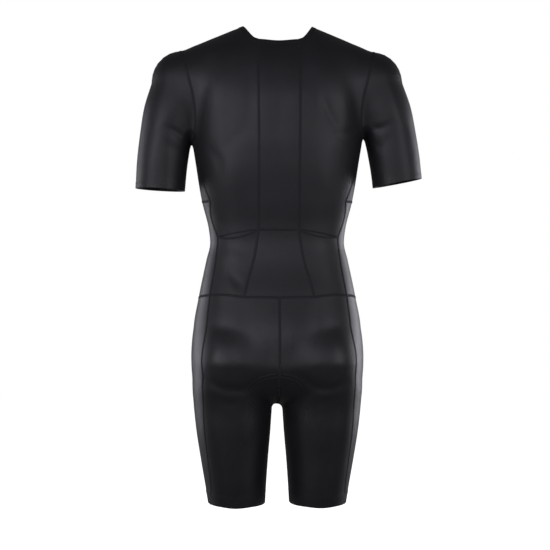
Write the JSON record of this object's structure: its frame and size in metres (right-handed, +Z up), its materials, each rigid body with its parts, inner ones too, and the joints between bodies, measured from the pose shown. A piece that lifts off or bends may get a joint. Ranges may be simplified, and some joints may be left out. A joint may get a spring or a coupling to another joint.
{
  "type": "triathlon suit",
  "caption": "One-piece racing suit with short sleeves and legs to mid-thigh, back pockets, front zip and seat pad, filled out as if worn.",
  "frame": {"origin": "midway between the two neck points, where the wearer's shoulders carry the suit", "axes": "+Z up, -Y to the wearer's front, +Y to the wearer's back, +X to the wearer's left"},
  "size_m": [0.5479, 0.2376, 0.9117],
  "materials": {
    "jersey": "matt black knitted stretch cloth",
    "side_jersey": "charcoal stretch cloth with a slight sheen",
    "short_lycra": "black stretch cloth with a soft sheen",
    "pad_foam": "brushed black pad",
    "zip_cloth": "woven zip tape",
    "zip_nylon": "moulded nylon",
    "zip_metal": "black lacquer"
  },
  "bodies": {
    "suit": {"back_centre": "jersey", "back_left": "jersey", "back_right": "jersey", "back_waist_centre": "jersey", "front_left": "jersey", "front_right": "jersey", "leg_back_left": "short_lycra", "leg_back_right": "short_lycra", "leg_front_left": "short_lycra", "leg_front_right": "short_lycra", "leg_side_left": "side_jersey", "leg_side_right": "side_jersey", "neck_band": "short_lycra", "pocket_left": "jersey", "pocket_lining_left": "jersey", "pocket_lining_right": "jersey", "pocket_right": "jersey", "seat_pad": "pad_foam", "side_lower_left": "side_jersey", "side_lower_right": "side_jersey", "side_upper_left": "jersey", "side_upper_right": "jersey", "sleeve_left": "jersey", "sleeve_right": "jersey", "zip_chain": "zip_nylon", "zip_slider": "zip_metal", "zip_tape_left": "zip_cloth", "zip_tape_right": "zip_cloth"},
    "zip_pull": {"zip_pull_tab": "zip_metal"}
  },
  "joints": [
    {"name": "pull_tab_hinge", "type": "hinge", "parent": "suit", "child": "zip_pull", "pos_m": [0, -0.0989, -0.09444], "axis": [-1, 0, 0], "range_deg": [0, 150]}
  ]
}
